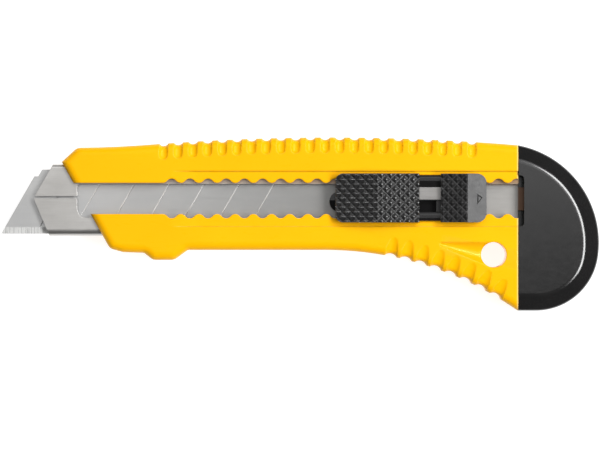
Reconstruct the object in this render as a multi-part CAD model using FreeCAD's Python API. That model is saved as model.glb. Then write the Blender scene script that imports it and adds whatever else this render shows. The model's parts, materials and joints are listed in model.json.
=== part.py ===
"""Snap-off utility knife with an 18 mm blade, one solid per piece, in millimetres.

Working frame: X runs along the knife, 0 at the joint between the handle and the end cap, the blade
at negative X. Y runs across it, 0 on the blade's centre line, the spine at positive Y. Z runs
through it, 0 on the back face, the thumb slider on top. main() moves every piece by the same
amount, so that the finished origin is under the middle of the knife's box.
"""
import FreeCAD, Part
import math
import os

V = FreeCAD.Vector

# Blade: the standard 18 mm size.
BLADE_LENGTH = 100.0
BLADE_WIDTH = 18.0
BLADE_THICK = 0.5
BLADE_ANGLE = 60.0
SCORE_PITCH = 9.8
SCORE_COUNT = 7
SCORE_DEPTH = 0.12
SCORE_HALF_WIDTH = 0.16
GRIND_WIDTH = 1.8
LEDGE_DROP = 1.9
LEDGE_RUN = 1.1
TAIL_HOLE_R = 1.35
TAIL_HOLE_FROM_END = 4.9

# Handle: side outline. The front end is one slanted line from the tip down to the chin.
HANDLE_LENGTH = 128.0
HANDLE_THICK = 13.5
TIP_Y = 11.1
SHOULDER_RUN = 4.3
SHOULDER_Y = 15.1
SPINE_ARC_RUN = 25.4
SPINE_PEAK_X = -52.5
SPINE_PEAK_Y = 18.0
SPINE_R = 632.0
CHIN_RUN = 13.5
CHIN_Y = -13.2
CHIN_REAR_RUN = 17.2
CHIN_REAR_Y = -14.2
STOP_FRONT_TOP_RUN = 23.1
STOP_FRONT_TOP_Y = -14.4
STOP_FRONT_RUN = 25.6
STOP_REAR_RUN = 31.5
STOP_Y = -16.4
STOP_REAR_TOP_RUN = 35.3
GRIP_Y = -13.6
BELLY_START_X = -54.2
BELLY_R = 94.8
CORNER_R = 2.4
HOLLOW_CORNER_R = 1.6
RIM_R = 2.2
FRONT_EDGE_R = 1.6

# Handle: walls and hollows.
FRONT_WALL = 2.0
BACK_WALL = 2.2
SIDE_WALL = 2.2
RAIL_SEAT_WALL = 1.6
HOLLOW_FRONT_RUN = 24.0
MOUTH_LIP = 3.3

# Handle: slot, detent waves and the shallow track that the slider runs in.
SLOT_LOW_Y = -3.5
SLOT_HIGH_Y = 5.2
WAVE_PITCH = 5.09
WAVE_DEPTH = 1.2
LAST_WAVE_RUN = 0.4
WAVE_FRONT_RUN = 28.0
TRACK_LOW_Y = -7.0
TRACK_HIGH_Y = 8.5
TRACK_DEPTH = 0.45
TRACK_RAMP = 7.0

# Handle: grip grooves over the spine and scooped finger ribs under the belly.
GROOVE_PITCH = 4.12
GROOVE_REAR_X = -12.9
GROOVE_FRONT_RUN = 28.4
GROOVE_HALF_WIDTH = 1.3
GROOVE_DEPTH = 0.7
GROOVE_REACH = 1.3
GROOVE_FADE = 4.0
RIB_PITCH = 4.2
RIB_COUNT = 8
RIB_REAR_X = -6.3
RIB_HALF_WIDTH = 1.75
RIB_DEPTH = 0.85
RIB_REACH = 3.0
RIB_FADE = 12.0

# Handle: hang hole with a scooped lead-in on the front face.
HANG_HOLE_X = -6.84
HANG_HOLE_Y = -14.93
HANG_HOLE_R = 3.55
HANG_BOSS_WALL = 1.8
SCOOP_LENGTH = 14.8
SCOOP_START_R = 0.6
SCOOP_TURN = 11.1
SCOOP_HALF_ANGLE = 16.0
SCOOP_PITCH_UP = 12.0

# Rail: a sheet-steel C channel, its lips towards the thumb side.
RAIL_DEPTH = 3.0
RAIL_SHEET = 0.4
RAIL_BLADE_GAP = 0.2
RAIL_SPINE_GAP = 1.0
RAIL_SPINE_BEND = 1.0
RAIL_EDGE_BEND = 1.8
RAIL_BACK_BEND = 0.9
RAIL_FIT = 0.05
RAIL_NOSE_OUT = 7.8
RAIL_REAR_OUT = 4.0
RAIL_TAIL_LOW_Y = -2.5
RAIL_TAIL_HIGH_Y = 4.0
TAB_LENGTH = 12.1
TAB_SEAM_Y = 1.2
TAB_SEAM_GAP = 0.6
EDGE_TAB_POINT_Y = 0.5
EDGE_TAB_LEAN = 4.3
WINDOW_LOW_Y = -4.6
WINDOW_HIGH_Y = 4.9
WINDOW_LOW_R = 2.6
WINDOW_HIGH_R = 1.0

# Slider: carrier, pad, lock and spring, set along the knife by the detent wave they rest in.
REST_WAVE = 6
BUMP_GAP = 0.15
SLIDE_GAP = 0.25
FIT_GAP = 0.05
SLIDER_LIFT = 0.15
BLADE_FLOOR_GAP = 0.15
PIN_GAP = 0.15
BOSS_R = 2.9
BOSS_SET_BACK = 1.25
PAD_LENGTH = 23.5
PAD_REAR_FROM_BUMP = 3.2
PAD_LOW_Y = -5.88
PAD_HIGH_Y = 7.84
PAD_CORNER_R = 2.2
PAD_END_RISE = 3.0
PAD_RIDGE_RISE = 5.2
PAD_WALL = 1.2
SADDLE_RISE = 1.55
SADDLE_MARGIN = 0.35
SADDLE_EDGE_R = 0.9
SADDLE_BAND = 1.7
SADDLE_RECESS = 0.42
PAD_TO_LOCK = 6.0
LOCK_LENGTH = 12.8
LOCK_KNURL_LENGTH = 7.5
LOCK_MARGIN = 0.05
LOCK_RISE = 3.7
LOCK_STEP = 0.6
LOCK_TAIL_RISE = 2.2
LOCK_CORNER_R = 2.6
LOCK_GAP = 0.15
LOCK_STOP_GAP = 0.5
FOOT_REAR_SET = 0.6
ARROW_WIDTH = 1.5
ARROW_HEIGHT = 2.9
ARROW_DEPTH = 0.25
ARROW_STROKE = 0.35
KNURL_PITCH = 1.83
KNURL_DEPTH = 0.55
KNURL_HALF_WIDTH = 0.75

# Detent spring: flat tail, bridge and two legs, all from one strip.
SPRING_SHEET = 0.35
SPRING_LEG_LENGTH = 4.4
SPRING_TAIL_LENGTH = 14.0
SPRING_TAIL_LOW_Y = 0.5
SPRING_TAIL_HIGH_Y = 3.95
SPRING_DROP = 0.1
SPRING_ROOM = 0.3

# Lock guide: a hooked groove down through the saddle beside the spring's tail.
GUIDE_LOW_Y = -2.9
GUIDE_HIGH_Y = 0.1
GUIDE_DROP = 1.3
GUIDE_HOOK = 0.6
GUIDE_FOOT = 0.5

# End cap: two tangent arcs, hollow, with tongues into the handle.
CAP_LENGTH = 22.7
CAP_SPINE_R = 27.9
CAP_BELLY_R = 17.6
CAP_BEVEL_RUN = 4.0
CAP_BEVEL_DROP = 3.0
CAP_CREASE_R = 2.6
CAP_RIM_R = 1.0
CAP_BACK_RIM_R = 2.2
CAP_PROUD = 0.3
CAP_SIDE_WALL = 3.2
CAP_MOUTH_SHOULDER = 4.5
CAP_FACE_WALL = 2.2
CAP_GAP = 0.15
CAP_NOTCH_DEPTH = 1.5
CAP_NOTCH_LOW_Y = -7.0
CAP_NOTCH_HIGH_Y = 7.3
CAP_NOTCH_R = 1.0
TONGUE_LENGTH = 8.0
TONGUE_THICK = 2.0
TONGUE_GAP = 0.2

# Levels through the knife, built up from the sizes above.
FRONT_X = -HANDLE_LENGTH
TRACK_Z = HANDLE_THICK - TRACK_DEPTH
RAIL_TOP_Z = TRACK_Z - FRONT_WALL - RAIL_FIT
RAIL_BACK_Z = RAIL_TOP_Z - RAIL_DEPTH
RAIL_LOW_Y = -BLADE_WIDTH / 2 - RAIL_BLADE_GAP - RAIL_SHEET
RAIL_HIGH_Y = BLADE_WIDTH / 2 + RAIL_SPINE_GAP + RAIL_SHEET
BLADE_Z = RAIL_BACK_Z + RAIL_SHEET + BLADE_FLOOR_GAP
FOOT_Z = BLADE_Z + BLADE_THICK
FOOT_TOP_Z = RAIL_TOP_Z - RAIL_SHEET - SLIDE_GAP
SADDLE_Z = HANDLE_THICK + SLIDER_LIFT
SADDLE_TOP_Z = TRACK_Z + SADDLE_RISE
NECK_LOW_Y = SLOT_LOW_Y + SLIDE_GAP
NECK_HIGH_Y = min(SLOT_HIGH_Y, WINDOW_HIGH_Y) - SLIDE_GAP
UPPER_TONGUE_Y = RAIL_HIGH_Y + RAIL_FIT + RAIL_SEAT_WALL + TONGUE_GAP
LOWER_TONGUE_Y = HANG_HOLE_Y - HANG_HOLE_R - HANG_BOSS_WALL - TONGUE_GAP - TONGUE_THICK

# Detent waves and the spring's bumps that sit in them.
WAVE_R = ((WAVE_PITCH / 4) ** 2 + (WAVE_DEPTH / 2) ** 2) / WAVE_DEPTH
BUMP_R = WAVE_R - BUMP_GAP

# Places along the knife, from the detent wave that the slider rests in.
BUMP_X = -WAVE_PITCH * REST_WAVE - LAST_WAVE_RUN
PAD_REAR_X = BUMP_X + PAD_REAR_FROM_BUMP
PAD_FRONT_X = PAD_REAR_X - PAD_LENGTH
PIN_X = PAD_FRONT_X + BOSS_SET_BACK
BLADE_TAIL_X = PIN_X + TAIL_HOLE_FROM_END
BLADE_TIP_X = BLADE_TAIL_X - BLADE_LENGTH
LOCK_FRONT_X = PAD_REAR_X + PAD_TO_LOCK
LOCK_REAR_X = LOCK_FRONT_X + LOCK_LENGTH
WAVE_COUNT = int((HANDLE_LENGTH - WAVE_FRONT_RUN) / WAVE_PITCH)
LOCK_TRAVEL = PAD_TO_LOCK - LOCK_STOP_GAP
SLIDE_WAVES_FORWARD = WAVE_COUNT - REST_WAVE

# How far the joints run: whole waves each way for the slider, and the cap clear of its tongues.
SLIDE_WAVES_BACK = 2
CAP_TRAVEL = 30.0


def box(x, y, z):
    """Box between the low and high value of each pair."""
    return Part.makeBox(x[1] - x[0], y[1] - y[0], z[1] - z[0], V(x[0], y[0], z[0]))


def rounded_wire(corners):
    """Closed wire through (x, y, radius) corners in the XY plane; a radius of 0 stays sharp."""
    ends = []
    for i, (x, y, radius) in enumerate(corners):
        point = V(x, y, 0)
        before = (V(corners[i - 1][0], corners[i - 1][1], 0) - point).normalize()
        following = corners[(i + 1) % len(corners)]
        after = (V(following[0], following[1], 0) - point).normalize()
        half = before.getAngle(after) / 2
        reach = radius / math.tan(half)
        inward = (before + after).normalize()
        middle = point + inward * (radius / math.sin(half) - radius)
        ends.append((point + before * reach, middle, point + after * reach, radius))
    edges = []
    for i, (start, middle, end, radius) in enumerate(ends):
        previous_end = ends[i - 1][2]
        if (start - previous_end).Length > 1e-6:
            edges.append(Part.LineSegment(previous_end, start).toShape())
        if radius > 0:
            edges.append(Part.Arc(start, middle, end).toShape())
    return Part.Wire(edges)


def rounded_prism(corners, z):
    """Solid of rounded_wire's outline between two heights."""
    face = Part.Face(rounded_wire(corners))
    face.translate(V(0, 0, z[0]))
    return face.extrude(V(0, 0, z[1] - z[0]))


def prism(points, z):
    """Solid of a sharp-cornered outline between two heights."""
    return rounded_prism([(x, y, 0) for x, y in points], z)


def section_along_x(corners, x):
    """Solid of an outline given in (y, z, radius), between two places along the knife."""
    solid = rounded_prism(corners, x)
    solid.rotate(V(0, 0, 0), V(1, 1, 1), 120)
    return solid


def section_along_y(points, y):
    """Solid of an outline given in (x, z), between two places across the knife."""
    wire = Part.makePolygon([V(px, y[0], pz) for px, pz in points + points[:1]])
    return Part.Face(wire).extrude(V(0, y[1] - y[0], 0))


def fillet_where(solid, radius, wanted):
    """Round the edges of a solid that wanted() picks."""
    return solid.makeFillet(radius, [edge for edge in solid.Edges if wanted(edge)])


def upright_at(x, y):
    """Picks the edges that stand along Z at one place in plan."""
    def wanted(edge):
        box_of = edge.BoundBox
        near = abs(box_of.Center.x - x) < 0.01 and abs(box_of.Center.y - y) < 0.01
        return near and box_of.XLength < 0.01 and box_of.YLength < 0.01
    return wanted


def spine_y(x):
    """Height of the handle's upper edge, a long shallow arc."""
    return SPINE_PEAK_Y - SPINE_R + math.sqrt(SPINE_R ** 2 - (x - SPINE_PEAK_X) ** 2)


def belly_y(x):
    """Height of the handle's lower edge behind the grip, a concave arc that starts level."""
    return GRIP_Y - BELLY_R + math.sqrt(BELLY_R ** 2 - (x - BELLY_START_X) ** 2)


def tangent_arc(start, end, tangent):
    """Arc between two points that arrives at its end along a given direction."""
    normal = V(-tangent.y, tangent.x, 0).normalize()
    chord = start - end
    radius = chord.dot(chord) / (2 * chord.dot(normal))
    centre = end + normal * radius
    middle = centre + ((start + end) * 0.5 - centre).normalize() * abs(radius)
    return Part.Arc(start, middle, end).toShape()


def handle_plan(inset=0.0):
    """Face of the handle's side outline, drawn inwards by an inset."""
    tip = V(FRONT_X, TIP_Y, 0)
    shoulder = V(FRONT_X + SHOULDER_RUN, SHOULDER_Y, 0)
    spine_start_x = FRONT_X + SPINE_ARC_RUN
    spine_start = V(spine_start_x, spine_y(spine_start_x), 0)
    spine_middle = V(spine_start_x / 2, spine_y(spine_start_x / 2), 0)
    joint_top = V(0, spine_y(0), 0)
    joint_bottom = V(0, belly_y(0), 0)
    belly_middle = V(BELLY_START_X / 2, belly_y(BELLY_START_X / 2), 0)
    lower = [
        V(BELLY_START_X, GRIP_Y, 0),
        V(FRONT_X + STOP_REAR_TOP_RUN, GRIP_Y, 0),
        V(FRONT_X + STOP_REAR_RUN, STOP_Y, 0),
        V(FRONT_X + STOP_FRONT_RUN, STOP_Y, 0),
        V(FRONT_X + STOP_FRONT_TOP_RUN, STOP_FRONT_TOP_Y, 0),
        V(FRONT_X + CHIN_REAR_RUN, CHIN_REAR_Y, 0),
        V(FRONT_X + CHIN_RUN, CHIN_Y, 0),
        tip,
    ]
    spine_slope = (SPINE_PEAK_X - spine_start_x) / (spine_start.y - SPINE_PEAK_Y + SPINE_R)
    edges = [Part.LineSegment(tip, shoulder).toShape()]
    edges.append(tangent_arc(shoulder, spine_start, V(1, spine_slope, 0)))
    edges.append(Part.Arc(spine_start, spine_middle, joint_top).toShape())
    edges.append(Part.LineSegment(joint_top, joint_bottom).toShape())
    edges.append(Part.Arc(joint_bottom, belly_middle, lower[0]).toShape())
    edges += [Part.LineSegment(a, b).toShape() for a, b in zip(lower, lower[1:])]
    face = Part.Face(Part.Wire(edges))
    if inset:
        face = face.makeOffset2D(-inset)
    return face


def handle_blank():
    """Handle's outer form: the outline's corners rounded first, then both rims."""
    blank = handle_plan().extrude(V(0, 0, HANDLE_THICK))
    for x, y in ((SHOULDER_RUN, SHOULDER_Y), (CHIN_RUN, CHIN_Y), (CHIN_REAR_RUN, CHIN_REAR_Y),
                 (STOP_FRONT_RUN, STOP_Y), (STOP_REAR_RUN, STOP_Y)):
        blank = fillet_where(blank, CORNER_R, upright_at(FRONT_X + x, y))
    for x, y in ((STOP_FRONT_TOP_RUN, STOP_FRONT_TOP_Y), (STOP_REAR_TOP_RUN, GRIP_Y)):
        blank = fillet_where(blank, HOLLOW_CORNER_R, upright_at(FRONT_X + x, y))
    front_slope = CHIN_RUN / (TIP_Y - CHIN_Y)

    def on_rim(edge):
        bounds = edge.BoundBox
        middle = bounds.Center
        flat = bounds.ZLength < 0.01 and min(abs(middle.z), abs(middle.z - HANDLE_THICK)) < 0.01
        on_joint = middle.x > -0.01
        on_front = abs(middle.x - (FRONT_X + (TIP_Y - middle.y) * front_slope)) < 0.2
        return flat and not on_joint and not on_front
    return fillet_where(blank, RIM_R, on_rim)


def front_rounding():
    """Tools that round the front end of both prongs, on the front and the back face."""
    reach = 2 * HANDLE_THICK
    low_y = -HANDLE_LENGTH / 2
    start_z = HANDLE_THICK - FRONT_EDGE_R
    block = box((-reach, FRONT_EDGE_R), (low_y, -low_y), (start_z, reach))
    left_over = Part.makeCylinder(FRONT_EDGE_R, HANDLE_LENGTH, V(FRONT_EDGE_R, low_y, start_z), V(0, 1, 0))
    front = block.cut(left_over)
    back = front.mirror(V(0, 0, HANDLE_THICK / 2), V(0, 0, 1))
    turn = math.degrees(math.atan2(CHIN_RUN, TIP_Y - CHIN_Y))
    for tool in (front, back):
        tool.rotate(V(0, 0, 0), V(0, 0, 1), turn)
        tool.translate(V(FRONT_X, TIP_Y, 0))
    return [front, back]


def groove_tool(at, outward, half_width, depth, reach, fade):
    """Round-bottomed tool that runs from the front face over the rim to the back face.

    at is the place on the edge in plan, outward the direction out of the handle there. The
    tool's two ends rise out of the faces at the fade angle.
    """
    radius = (half_width ** 2 + depth ** 2) / (2 * depth)
    bend = RIM_R + radius - depth
    turn = math.radians(fade)
    side = V(outward.x, outward.y, 0).normalize()
    up = V(0, 0, 1)

    def spot(out, height):
        return V(at.x, at.y, 0) + side * out + up * height

    def on_bend(angle):
        return spot(bend * math.sin(angle) - RIM_R, HANDLE_THICK - RIM_R + bend * math.cos(angle))

    def mirrored(point):
        return V(point.x, point.y, HANDLE_THICK - point.z)

    start = on_bend(turn) + side * (-reach * math.cos(turn)) + up * (reach * math.sin(turn))
    knee = on_bend(turn)
    middle = on_bend((turn + math.pi / 2) / 2)
    side_top = on_bend(math.pi / 2)
    path = Part.Wire([
        Part.LineSegment(start, knee).toShape(),
        Part.Arc(knee, middle, side_top).toShape(),
        Part.LineSegment(side_top, mirrored(side_top)).toShape(),
        Part.Arc(mirrored(side_top), mirrored(middle), mirrored(knee)).toShape(),
        Part.LineSegment(mirrored(knee), mirrored(start)).toShape(),
    ])
    ring = Part.Wire(Part.makeCircle(radius, start, knee - start))
    tube = path.makePipeShell([ring], True, False)
    return tube.multiFuse([Part.makeSphere(radius, start), Part.makeSphere(radius, mirrored(start))])


def grip_grooves():
    """Grooves across the spine, as many as the handle's length has room for."""
    count = int((HANDLE_LENGTH - GROOVE_FRONT_RUN + GROOVE_REAR_X) / GROOVE_PITCH) + 1
    tools = []
    for i in range(count):
        x = GROOVE_REAR_X - i * GROOVE_PITCH
        at = V(x, spine_y(x), 0)
        tools.append(groove_tool(at, V(0, 1, 0), GROOVE_HALF_WIDTH, GROOVE_DEPTH, GROOVE_REACH, GROOVE_FADE))
    return tools


def finger_ribs():
    """Scoops square to the belly's arc."""
    centre = V(BELLY_START_X, GRIP_Y - BELLY_R, 0)
    tools = []
    for i in range(RIB_COUNT):
        x = RIB_REAR_X - i * RIB_PITCH
        at = V(x, belly_y(x), 0)
        tools.append(groove_tool(at, centre - at, RIB_HALF_WIDTH, RIB_DEPTH, RIB_REACH, RIB_FADE))
    return tools


def wave_edges(crest_y, root_y):
    """One waved side of the slot, from the front end to the joint, as tangent arcs."""
    quarter = WAVE_PITCH / 4
    middle_y = (crest_y + root_y) / 2
    first_x = -WAVE_PITCH * WAVE_COUNT - LAST_WAVE_RUN
    half_turn = math.asin(quarter / WAVE_R) / 2
    to_root = math.copysign(1, root_y - crest_y)

    def crest_point(x):
        return V(x + WAVE_R * math.sin(half_turn), crest_y + to_root * WAVE_R * (1 - math.cos(half_turn)), 0)

    lead_in = first_x - 2 * quarter
    edges = [
        Part.LineSegment(V(2 * FRONT_X, crest_y, 0), V(lead_in, crest_y, 0)).toShape(),
        Part.Arc(V(lead_in, crest_y, 0), crest_point(lead_in), V(first_x - quarter, middle_y, 0)).toShape(),
    ]
    for i in range(WAVE_COUNT):
        x = first_x + i * WAVE_PITCH
        ends = [V(x + step * quarter, middle_y, 0) for step in (-1, 1, 3)]
        edges.append(Part.Arc(ends[0], V(x, root_y, 0), ends[1]).toShape())
        edges.append(Part.Arc(ends[1], V(x + 2 * quarter, crest_y, 0), ends[2]).toShape())
    last_crest_end = V(-LAST_WAVE_RUN - quarter, middle_y, 0)
    edges.append(Part.LineSegment(last_crest_end, V(WAVE_PITCH, middle_y, 0)).toShape())
    return edges


def slot_tool():
    """The slot through the front wall, open at the front end and at the joint."""
    low_edges = wave_edges(SLOT_LOW_Y, SLOT_LOW_Y - WAVE_DEPTH)
    high_edges = wave_edges(SLOT_HIGH_Y, SLOT_HIGH_Y + WAVE_DEPTH)
    low_start = low_edges[0].Vertexes[0].Point
    high_start = high_edges[0].Vertexes[0].Point
    low_end = low_edges[-1].Vertexes[1].Point
    high_end = high_edges[-1].Vertexes[1].Point
    edges = low_edges + [Part.LineSegment(low_end, high_end).toShape()] + high_edges
    edges.append(Part.LineSegment(low_start, high_start).toShape())
    wire = Part.Wire(Part.__sortEdges__(edges))
    depth = V(0, 0, HANDLE_THICK - RAIL_TOP_Z + FRONT_WALL)
    tool = Part.Face(wire).extrude(depth)
    for notch_y in (SLOT_LOW_Y - WAVE_DEPTH + WAVE_R, SLOT_HIGH_Y + WAVE_DEPTH - WAVE_R):
        tool = tool.fuse(Part.makeCylinder(WAVE_R, depth.z, V(-LAST_WAVE_RUN, notch_y, 0)))
    tool.translate(V(0, 0, RAIL_TOP_Z - RAIL_SHEET))
    return tool


def track_tool():
    """Shallow band that the pad and the lock run over; its front end ramps up to the face."""
    front = -WAVE_PITCH * WAVE_COUNT - LAST_WAVE_RUN
    over = HANDLE_THICK + 1
    return section_along_y([
        (front, HANDLE_THICK),
        (front + TRACK_RAMP, TRACK_Z),
        (WAVE_PITCH, TRACK_Z),
        (WAVE_PITCH, over),
        (front, over),
    ], (TRACK_LOW_Y, TRACK_HIGH_Y))


def scoop_tool():
    """Cone that leads from the front face down into the hang hole."""
    turn = math.radians(SCOOP_TURN)
    lift = math.radians(SCOOP_PITCH_UP)
    along = V(math.cos(turn) * math.cos(lift), -math.sin(turn) * math.cos(lift), math.sin(lift))
    apex = V(HANG_HOLE_X - SCOOP_LENGTH * math.cos(turn), HANG_HOLE_Y + SCOOP_LENGTH * math.sin(turn),
             HANDLE_THICK)
    wide = SCOOP_START_R + SCOOP_LENGTH * math.tan(math.radians(SCOOP_HALF_ANGLE))
    cone = Part.makeCone(SCOOP_START_R, wide, SCOOP_LENGTH, apex, along)
    return cone.fuse(Part.makeSphere(SCOOP_START_R, apex))


def rail_section(gap):
    """Outline of the rail's outside in (y, z, radius), moved outwards by a gap."""
    low_y = RAIL_LOW_Y - gap
    high_y = RAIL_HIGH_Y + gap
    back_z = RAIL_BACK_Z - gap
    top_z = RAIL_TOP_Z + gap
    return [
        (low_y, back_z, RAIL_BACK_BEND + gap),
        (high_y, back_z, RAIL_BACK_BEND + gap),
        (high_y, top_z, RAIL_SPINE_BEND + gap),
        (low_y, top_z, RAIL_EDGE_BEND + gap),
    ]


def belly_hollow():
    """Core-out below the rail's seat, open at the joint, round the hang hole's boss."""
    ceiling = RAIL_LOW_Y - RAIL_FIT - RAIL_SEAT_WALL
    depth = (BACK_WALL, HANDLE_THICK - FRONT_WALL)
    core = handle_plan(SIDE_WALL).extrude(V(0, 0, depth[1] - depth[0]))
    core.translate(V(0, 0, depth[0]))
    window = box((BELLY_START_X, 1), (belly_y(0), ceiling), depth)
    core = core.common(window)
    mouth_low = belly_y(-SIDE_WALL) + MOUTH_LIP
    core = core.fuse(box((-2 * SIDE_WALL, 1), (mouth_low, ceiling), depth))
    boss = Part.makeCylinder(HANG_HOLE_R + HANG_BOSS_WALL, HANDLE_THICK, V(HANG_HOLE_X, HANG_HOLE_Y, 0))
    web = box((HANG_HOLE_X - HANG_BOSS_WALL / 2, HANG_HOLE_X + HANG_BOSS_WALL / 2),
              (HANG_HOLE_Y, ceiling + 1), (0, HANDLE_THICK))
    return core.cut(boss).cut(web)


def tongue_box(low_y, gap, x):
    """Space of one cap tongue, or of its socket when the gap is positive."""
    across = (low_y - gap, low_y + TONGUE_THICK + gap)
    return box(x, across, (BACK_WALL + TONGUE_GAP - gap, HANDLE_THICK - FRONT_WALL - TONGUE_GAP + gap))


def handle_body():
    """Moulded handle: outer form, rail seat, slot, track, hollows, grip and hang hole."""
    body = handle_blank()
    body = body.cut(front_rounding())
    seat = section_along_x(rail_section(RAIL_FIT), (2 * FRONT_X, 1))
    back_core = box((FRONT_X + HOLLOW_FRONT_RUN, 1), (RAIL_LOW_Y + SIDE_WALL, RAIL_HIGH_Y - SIDE_WALL),
                    (BACK_WALL, RAIL_BACK_Z - RAIL_SEAT_WALL))
    socket = tongue_box(UPPER_TONGUE_Y, TONGUE_GAP, (-TONGUE_LENGTH - 1, 1))
    hole = Part.makeCylinder(HANG_HOLE_R, HANDLE_THICK + 2, V(HANG_HOLE_X, HANG_HOLE_Y, -1))
    body = body.cut([seat, slot_tool(), track_tool(), back_core, socket, belly_hollow(), hole, scoop_tool()])
    body = body.cut(grip_grooves() + finger_ribs())
    return body


def blade_rail():
    """C channel: a closed tube of sheet whose front is cut into two nose tabs and two lips."""
    nose_x = FRONT_X - RAIL_NOSE_OUT
    lean = 1 / math.tan(math.radians(BLADE_ANGLE))
    snap_x = nose_x + (RAIL_LOW_Y - TAB_SEAM_Y) * lean
    outside = section_along_x(rail_section(0), (snap_x, RAIL_REAR_OUT))
    inside = section_along_x(rail_section(-RAIL_SHEET), (snap_x - 1, RAIL_REAR_OUT + 1))
    tube = outside.cut(inside)
    middle_z = (RAIL_BACK_Z + RAIL_TOP_Z) / 2
    front = (middle_z, RAIL_TOP_Z + 1)
    over_y = RAIL_HIGH_Y + 1
    under_y = RAIL_LOW_Y - 1
    window_x = nose_x + TAB_LENGTH
    window = rounded_prism([
        (window_x, WINDOW_LOW_Y, WINDOW_LOW_R),
        (RAIL_REAR_OUT + 1, WINDOW_LOW_Y, 0),
        (RAIL_REAR_OUT + 1, WINDOW_HIGH_Y, 0),
        (window_x, WINDOW_HIGH_Y, WINDOW_HIGH_R),
    ], front)
    seam_low = TAB_SEAM_Y - TAB_SEAM_GAP / 2
    seam = box((snap_x - 1, window_x + WINDOW_LOW_R), (seam_low, seam_low + TAB_SEAM_GAP), front)

    def snap_line(y):
        return nose_x + (y - TAB_SEAM_Y) * lean

    edge_lean = EDGE_TAB_LEAN / (EDGE_TAB_POINT_Y - RAIL_LOW_Y)
    edge_foot_x = nose_x + (EDGE_TAB_POINT_Y - under_y) * edge_lean
    far_x = snap_x - 1
    above_tabs = prism([
        (far_x, over_y),
        (snap_line(over_y), over_y),
        (snap_line(TAB_SEAM_Y), TAB_SEAM_Y),
        (nose_x, EDGE_TAB_POINT_Y),
        (edge_foot_x, under_y),
        (far_x, under_y),
    ], front)
    behind_plate = prism([
        (far_x, over_y),
        (snap_line(over_y), over_y),
        (snap_line(RAIL_LOW_Y + RAIL_BACK_BEND), RAIL_LOW_Y + RAIL_BACK_BEND),
        (edge_foot_x, RAIL_LOW_Y + RAIL_BACK_BEND),
        (edge_foot_x, under_y),
        (far_x, under_y),
    ], (RAIL_BACK_Z - 1, middle_z))
    tail = (CAP_GAP, RAIL_REAR_OUT + 1)
    beside_tail = box(tail, (under_y, over_y), (RAIL_BACK_Z - 1, RAIL_TOP_Z + 1))
    beside_tail = beside_tail.cut(box(tail, (RAIL_TAIL_LOW_Y, RAIL_TAIL_HIGH_Y), (RAIL_BACK_Z - 1, middle_z)))
    return tube.cut([window, seam, above_tabs, behind_plate, beside_tail])


def blade():
    """Snap-off blade, edge down, with score lines on the thumb side and a ground edge."""
    lean = 1 / math.tan(math.radians(BLADE_ANGLE))
    half = BLADE_WIDTH / 2
    top_z = BLADE_Z + BLADE_THICK

    def slant(x, y):
        return x + (y + half) * lean

    ledge_y = half - LEDGE_DROP
    ledge_x = slant(BLADE_TIP_X, ledge_y)
    body = prism([
        (BLADE_TIP_X, -half),
        (BLADE_TAIL_X, -half),
        (BLADE_TAIL_X, half),
        (ledge_x + LEDGE_RUN + LEDGE_DROP * lean, half),
        (ledge_x + LEDGE_RUN, ledge_y),
        (ledge_x, ledge_y),
    ], (BLADE_Z, top_z))
    long_way = (BLADE_TIP_X - 1, BLADE_TAIL_X + 1)
    tools = []
    for inward, face_z in ((1, BLADE_Z), (-1, top_z)):
        middle_z = face_z + inward * BLADE_THICK / 2
        outside_z = face_z - inward
        tools.append(section_along_x([
            (-half, middle_z, 0),
            (-half + GRIND_WIDTH, face_z, 0),
            (-half + GRIND_WIDTH, outside_z, 0),
            (-half - 1, outside_z, 0),
            (-half - 1, middle_z, 0),
        ], long_way))
    for i in range(SCORE_COUNT):
        wide = SCORE_HALF_WIDTH
        score = section_along_y([(-wide, 0), (0, -SCORE_DEPTH), (wide, 0), (wide, 1), (-wide, 1)],
                                (-half, 2 * BLADE_WIDTH))
        score.rotate(V(0, 0, 0), V(0, 0, 1), BLADE_ANGLE - 90)
        score.translate(V(BLADE_TIP_X + (i + 1) * SCORE_PITCH, -half, top_z))
        tools.append(score)
    tools.append(Part.makeCylinder(TAIL_HOLE_R, BLADE_THICK + 2, V(PIN_X, 0, BLADE_Z - 1)))
    return body.cut(tools)


def spring_levels():
    """Heights of the spring: under its legs, and under and over its flat top."""
    top = SADDLE_TOP_Z - SPRING_DROP
    return RAIL_TOP_Z + SPRING_ROOM, top - SPRING_SHEET, top


def spring_slot():
    """Room in the carrier for the spring's bridge, legs and tail."""
    leg_z, flat_z, _ = spring_levels()
    half = SPRING_LEG_LENGTH / 2 + SPRING_ROOM
    over = SADDLE_TOP_Z + 1
    legs = box((BUMP_X - half, BUMP_X + half), (SLOT_LOW_Y, SLOT_HIGH_Y), (leg_z - SPRING_ROOM / 2, over))
    tail_rear = BUMP_X + SPRING_LEG_LENGTH / 2 + SPRING_TAIL_LENGTH + SPRING_ROOM
    across = (SPRING_TAIL_LOW_Y - FIT_GAP, SPRING_TAIL_HIGH_Y + FIT_GAP)
    tail = box((BUMP_X, tail_rear), across, (flat_z, over))
    return [legs, tail]


def guide_section(gap):
    """Outline of the lock's hooked runner in (y, z, radius), grown by a gap."""
    floor = SADDLE_Z - GUIDE_DROP - gap
    hook_top = floor + GUIDE_FOOT + 2 * gap
    return [
        (GUIDE_LOW_Y - gap, floor, 0),
        (GUIDE_HIGH_Y + GUIDE_HOOK + gap, floor, 0),
        (GUIDE_HIGH_Y + GUIDE_HOOK + gap, hook_top, 0),
        (GUIDE_HIGH_Y + gap, hook_top, 0),
        (GUIDE_HIGH_Y + gap, SADDLE_TOP_Z + 1, 0),
        (GUIDE_LOW_Y - gap, SADDLE_TOP_Z + 1, 0),
    ]


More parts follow.
